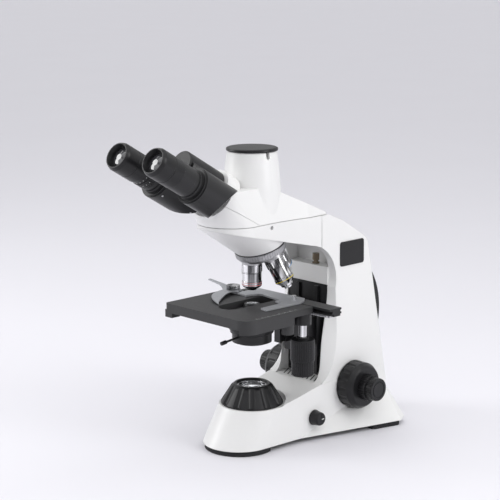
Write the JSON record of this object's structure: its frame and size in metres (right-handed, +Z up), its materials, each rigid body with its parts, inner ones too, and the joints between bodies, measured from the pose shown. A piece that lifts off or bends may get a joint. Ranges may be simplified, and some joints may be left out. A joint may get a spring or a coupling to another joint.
{
  "type": "trinocular microscope",
  "caption": "Upright compound microscope with inclined binocular head, photo tube, quadruple nosepiece, square mechanical stage, condenser and built-in lamp",
  "frame": {"origin": "where the optical axis meets the bench, on the plane of the feet's undersides", "axes": "+X to the user's right, +Y away from the user towards the arm, +Z up"},
  "size_m": [0.217, 0.4246, 0.4116],
  "materials": {
    "white_enamel": "white baked enamel on cast aluminium, slightly textured",
    "black_enamel": "satin black enamel on machined aluminium",
    "black_plastic": "moulded black plastic, satin",
    "black_sheet": "black painted sheet steel",
    "steel": "ground and turned steel",
    "chrome": "bright chrome plate",
    "holder_metal": "bead-blasted grey metal",
    "rubber": "matt black rubber",
    "glass": "coated optical glass",
    "lamp_metal": "bare turned aluminium"
  },
  "bodies": {
    "base": {"stand": "white_enamel", "base_plate": "black_sheet", "base_screws": "steel", "feet": "rubber", "nameplate": "black_plastic", "rear_grip": "black_plastic", "power_inlet": "black_plastic", "guide_panel": "black_enamel", "slide_rails": "black_enamel", "nosepiece_mount": "white_enamel", "lamp": "lamp_metal", "collector_lens": "glass"},
    "stop": {"stop_screw": "steel"},
    "tension": {"tension_ring": "black_plastic"},
    "lock": {"head_lock_screw": "steel"},
    "dimmer": {"brightness_knob": "black_plastic"},
    "field": {"field_ring": "black_plastic"},
    "coarse": {"coarse_sleeve": "steel", "coarse_knob_right": "black_plastic", "coarse_knob_left": "black_plastic"},
    "fine": {"fine_shaft": "steel", "fine_knob_right": "black_plastic", "fine_knob_left": "black_plastic"},
    "lift": {"stage_carriage": "black_enamel", "focus_rack": "steel", "stage_base": "black_enamel"},
    "stage": {"stage_top": "black_enamel", "drive_bearing": "black_enamel"},
    "y_drive": {"y_drive_tube": "chrome", "y_knob": "black_plastic"},
    "x_drive": {"x_drive_shaft": "steel", "x_knob": "black_plastic"},
    "holder": {"x_bar": "black_enamel", "x_rack": "steel", "holder_plate": "holder_metal", "holder_screws": "chrome"},
    "finger": {"clip_finger": "holder_metal"},
    "condenser": {"condenser_mount": "black_enamel", "condenser_body": "black_enamel", "condenser_lens": "glass"},
    "condenser_drive": {"condenser_knob": "black_plastic"},
    "iris": {"iris_lever": "black_enamel"},
    "nosepiece": {"turret": "chrome", "objective_4x": "chrome", "objective_10x": "chrome", "objective_40x": "chrome", "objective_100x": "chrome", "objective_lenses": "glass"},
    "head": {"head_housing": "white_enamel", "head_chin": "white_enamel", "beam_splitter": "glass", "pivot_barrel": "black_enamel"},
    "cap": {"port_cap": "black_plastic"},
    "right_tube": {"prism_housing_right": "black_enamel"},
    "left_tube": {"prism_housing_left": "black_enamel"},
    "diopter": {"diopter_ring": "black_plastic"},
    "right_eyepiece": {"eyepiece_right": "black_plastic", "eye_lens_right": "glass"},
    "left_eyepiece": {"eyepiece_left": "black_plastic", "eye_lens_left": "glass"}
  },
  "joints": [
    {"name": "coarse_turn", "type": "hinge", "parent": "base", "child": "coarse", "pos_m": [0, 0.142, 0.062], "axis": [1, 0, 0], "range_deg": [-16.5, 82]},
    {"name": "stage_lift", "type": "slide", "parent": "base", "child": "lift", "axis": [0, 0, 1], "range_m": [-0.02, 0.004]},
    {"name": "fine_turn", "type": "hinge", "parent": "coarse", "child": "fine", "pos_m": [0, 0.142, 0.062], "axis": [1, 0, 0], "continuous": true},
    {"name": "stage_cross_y", "type": "slide", "parent": "lift", "child": "stage", "axis": [0, 1, 0], "range_m": [-0.02, 0.025]},
    {"name": "y_knob_turn", "type": "hinge", "parent": "stage", "child": "y_drive", "pos_m": [0.058, 0.035, 0.13], "axis": [0, 0, 1], "range_deg": [-163.9, 204.9]},
    {"name": "holder_slide", "type": "slide", "parent": "stage", "child": "holder", "axis": [1, 0, 0], "range_m": [-0.04, 0.021]},
    {"name": "x_knob_turn", "type": "hinge", "parent": "stage", "child": "x_drive", "pos_m": [0.058, 0.035, 0.106], "axis": [0, 0, 1], "range_deg": [-172, 327.7]},
    {"name": "clip_finger_turn", "type": "hinge", "parent": "holder", "child": "finger", "pos_m": [-0.056, 0.02, 0.194], "axis": [0, 0, 1], "range_deg": [-28, 0], "stiffness_Nm_per_rad": 0.02, "springref_deg": 5.73},
    {"name": "condenser_lift", "type": "slide", "parent": "lift", "child": "condenser", "axis": [0, 0, 1], "range_m": [-0.02, 0]},
    {"name": "condenser_knob_turn", "type": "hinge", "parent": "lift", "child": "condenser_drive", "pos_m": [0, 0.082, 0.15], "axis": [1, 0, 0], "range_deg": [0, 239]},
    {"name": "iris_turn", "type": "hinge", "parent": "condenser", "child": "iris", "pos_m": [0, 0, 0.144], "axis": [0, 0, 1], "range_deg": [-30, 30]},
    {"name": "nosepiece_turn", "type": "hinge", "parent": "base", "child": "nosepiece", "pos_m": [0, 0.01502, 0.25998], "axis": [0, 0.3338, -0.9426], "continuous": true},
    {"name": "head_swivel", "type": "hinge", "parent": "base", "child": "head", "pos_m": [0, 0, 0.2945], "axis": [0, 0, 1], "continuous": true},
    {"name": "port_cap_lift", "type": "slide", "parent": "head", "child": "cap", "axis": [0, 0, 1], "range_m": [0, 0.04]},
    {"name": "right_tube_swing", "type": "hinge", "parent": "head", "child": "right_tube", "pos_m": [0, -0.09526, 0.3691], "axis": [0, -0.866, 0.5], "range_deg": [-16.2, 12.8]},
    {"name": "left_tube_swing", "type": "hinge", "parent": "head", "child": "left_tube", "pos_m": [0, -0.07794, 0.3591], "axis": [0, -0.866, 0.5], "range_deg": [-12.8, 16.2]},
    {"name": "diopter_turn", "type": "hinge", "parent": "left_tube", "child": "diopter", "pos_m": [-0.033, -0.15131, 0.37202], "axis": [0, -0.866, 0.5], "range_deg": [-150, 150]},
    {"name": "right_eyepiece_pull", "type": "slide", "parent": "right_tube", "child": "right_eyepiece", "axis": [0, -0.866, 0.5], "range_m": [0, 0.045]},
    {"name": "left_eyepiece_pull", "type": "slide", "parent": "left_tube", "child": "left_eyepiece", "axis": [0, -0.866, 0.5], "range_m": [0, 0.045]},
    {"name": "field_ring_turn", "type": "hinge", "parent": "base", "child": "field", "pos_m": [0, 0, 0.06], "axis": [0, 0, 1], "range_deg": [-90, 90]},
    {"name": "brightness_turn", "type": "hinge", "parent": "base", "child": "dimmer", "pos_m": [0.056, 0.067, 0.03], "axis": [1, 0, 0], "range_deg": [0, 280]},
    {"name": "tension_ring_turn", "type": "hinge", "parent": "base", "child": "tension", "pos_m": [-0.058, 0.142, 0.062], "axis": [1, 0, 0], "range_deg": [-60, 60]},
    {"name": "stop_screw_turn", "type": "hinge", "parent": "base", "child": "stop", "pos_m": [0.0075, 0.113, 0.23], "axis": [0, 0, 1], "continuous": true},
    {"name": "head_lock_turn", "type": "hinge", "parent": "base", "child": "lock", "pos_m": [0.034, -0.0045, 0.2936], "axis": [1, 0, 0], "continuous": true}
  ],
  "couplings": [
    {"joint": "coarse_turn", "follows": "stage_lift", "rad_per_m": -71.429},
    {"joint": "y_knob_turn", "follows": "stage_cross_y", "rad_per_m": 142.86},
    {"joint": "x_knob_turn", "follows": "holder_slide", "rad_per_m": -142.86},
    {"joint": "condenser_knob_turn", "follows": "condenser_lift", "rad_per_m": -208.33},
    {"joint": "left_tube_swing", "follows": "right_tube_swing", "ratio": -1}
  ]
}
